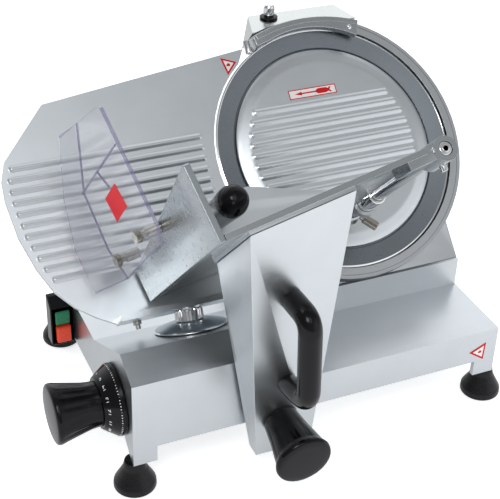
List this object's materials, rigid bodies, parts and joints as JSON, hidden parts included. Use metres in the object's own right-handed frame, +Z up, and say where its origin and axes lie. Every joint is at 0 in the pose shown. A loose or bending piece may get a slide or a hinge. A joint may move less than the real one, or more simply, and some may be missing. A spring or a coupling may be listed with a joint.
{
  "type": "deli meat slicer",
  "caption": "Gravity-feed meat slicer: inclined round blade, ribbed gauge plate with thickness knob, tilted sliding food carriage with clear hand guard, pusher and handle.",
  "frame": {"origin": "on the floor under the centre of the overall bounding box", "axes": "+X along the carriage travel, away from the thickness knob; +Y from the operator's side to the back; +Z up"},
  "size_m": [0.478, 0.4022, 0.3547],
  "materials": {
    "cast_aluminium": "satin anodised",
    "polished_aluminium": "polished",
    "blade_steel": "ground and hardened",
    "chrome": "mirror",
    "zinc_steel": "zinc plated",
    "black_plastic": "gloss",
    "black_rubber": "matte",
    "clear_polycarbonate": "clear",
    "green_plastic": "gloss",
    "red_plastic": "gloss",
    "grinding_stone": "abrasive",
    "pale_cover": "satin, pale"
  },
  "bodies": {
    "base": {"base_casting": "cast_aluminium", "bottom_plate": "zinc_steel", "foot_front_left": "black_rubber", "foot_front_right": "black_rubber", "foot_rear_left": "black_rubber", "foot_rear_right": "black_rubber", "drive_housing": "cast_aluminium", "belt_cover": "cast_aluminium", "rear_cover": "cast_aluminium", "cover_disc": "cast_aluminium", "motor_housing": "zinc_steel", "capacitor": "black_plastic", "drive_belt": "black_rubber", "bearing_front": "chrome", "bearing_rear": "chrome", "switch_box": "black_plastic", "carriage_rod": "chrome", "support_bar": "chrome", "gauge_guide_rod": "chrome", "sharpener_hood": "cast_aluminium", "sharpener_cover": "pale_cover", "sharpener_post": "chrome", "grinding_stone": "grinding_stone", "honing_stone": "grinding_stone"},
    "start_button": {"start_button": "green_plastic"},
    "stop_button": {"stop_button": "red_plastic"},
    "disc_fixing": {"cover_tie_rod": "zinc_steel", "cover_knob": "black_plastic"},
    "sharpener_lock": {"sharpener_knob": "chrome"},
    "blade": {"blade": "blade_steel", "blade_spindle": "zinc_steel", "driven_pulley": "cast_aluminium"},
    "motor_rotor": {"motor_shaft": "zinc_steel", "motor_pulley": "cast_aluminium"},
    "dial": {"thickness_knob": "black_plastic", "dial_ring": "black_plastic", "index_shaft": "zinc_steel", "index_cam": "zinc_steel"},
    "gauge": {"gauge_plate": "cast_aluminium", "gauge_post": "zinc_steel", "gauge_saucer": "cast_aluminium", "post_collar": "chrome", "gauge_slide": "zinc_steel"},
    "carriage": {"meat_tray": "polished_aluminium", "end_wall": "polished_aluminium", "carriage_column": "cast_aluminium", "carriage_handle": "black_plastic", "hand_guard": "clear_polycarbonate", "guard_screw_front": "chrome", "guard_screw_rear": "chrome", "slide_block": "zinc_steel", "pusher_rod": "chrome", "rod_set_screw": "chrome"},
    "carriage_lock": {"lock_knob": "black_plastic"},
    "pusher_slider": {"pusher_sleeve": "chrome"},
    "pusher": {"pusher_plate": "cast_aluminium", "pusher_grip": "black_plastic"},
    "pusher_lock": {"pusher_screw": "chrome"}
  },
  "joints": [
    {"name": "start_press", "type": "slide", "parent": "base", "child": "start_button", "axis": [0, 1, 0], "range_m": [0, 0.003], "stiffness_N_per_m": 300},
    {"name": "stop_press", "type": "slide", "parent": "base", "child": "stop_button", "axis": [0, 1, 0], "range_m": [0, 0.003], "stiffness_N_per_m": 300},
    {"name": "disc_knob_turn", "type": "hinge", "parent": "base", "child": "disc_fixing", "pos_m": [0.102, 0.072, 0.2182], "axis": [0, -0.7071, 0.7071], "range_deg": [0, 720]},
    {"name": "sharpener_knob_turn", "type": "hinge", "parent": "base", "child": "sharpener_lock", "pos_m": [0.0768, 0.1886, 0.31265], "axis": [0, 0, 1], "range_deg": [0, 360]},
    {"name": "blade_spin", "type": "hinge", "parent": "base", "child": "blade", "pos_m": [0.102, 0.072, 0.2182], "axis": [0, -0.7071, 0.7071], "continuous": true},
    {"name": "motor_spin", "type": "hinge", "parent": "base", "child": "motor_rotor", "pos_m": [0.16, 0.04654, 0.19274], "axis": [0, -0.7071, 0.7071], "continuous": true},
    {"name": "thickness_turn", "type": "hinge", "parent": "base", "child": "dial", "pos_m": [-0.1755, -0.0589, 0.077], "axis": [-1, 0, 0], "range_deg": [0, 300]},
    {"name": "gauge_slide", "type": "slide", "parent": "base", "child": "gauge", "axis": [0, 0.8896, -0.4568], "range_m": [0, 0.01256]},
    {"name": "carriage_travel", "type": "slide", "parent": "base", "child": "carriage", "axis": [1, 0, 0], "range_m": [-0.08, 0.15]},
    {"name": "carriage_lock_turn", "type": "hinge", "parent": "carriage", "child": "carriage_lock", "pos_m": [-0.0455, -0.1337, 0.07], "axis": [0, -0.9903, -0.1392], "range_deg": [0, 360]},
    {"name": "pusher_travel", "type": "slide", "parent": "carriage", "child": "pusher_slider", "axis": [0, -0.7071, 0.7071], "range_m": [-0.002, 0.105]},
    {"name": "pusher_swing", "type": "hinge", "parent": "pusher_slider", "child": "pusher", "pos_m": [0.08343, -0.03359, 0.21726], "axis": [0, 0.7071, -0.7071], "range_deg": [0, 95]},
    {"name": "pusher_lock_turn", "type": "hinge", "parent": "pusher_slider", "child": "pusher_lock", "pos_m": [0.08343, -0.00601, 0.18969], "axis": [0.717, -0.4929, -0.4929], "range_deg": [0, 360]}
  ],
  "couplings": [
    {"joint": "motor_spin", "follows": "blade_spin", "ratio": 2},
    {"joint": "thickness_turn", "follows": "gauge_slide", "rad_per_m": 416.67}
  ]
}
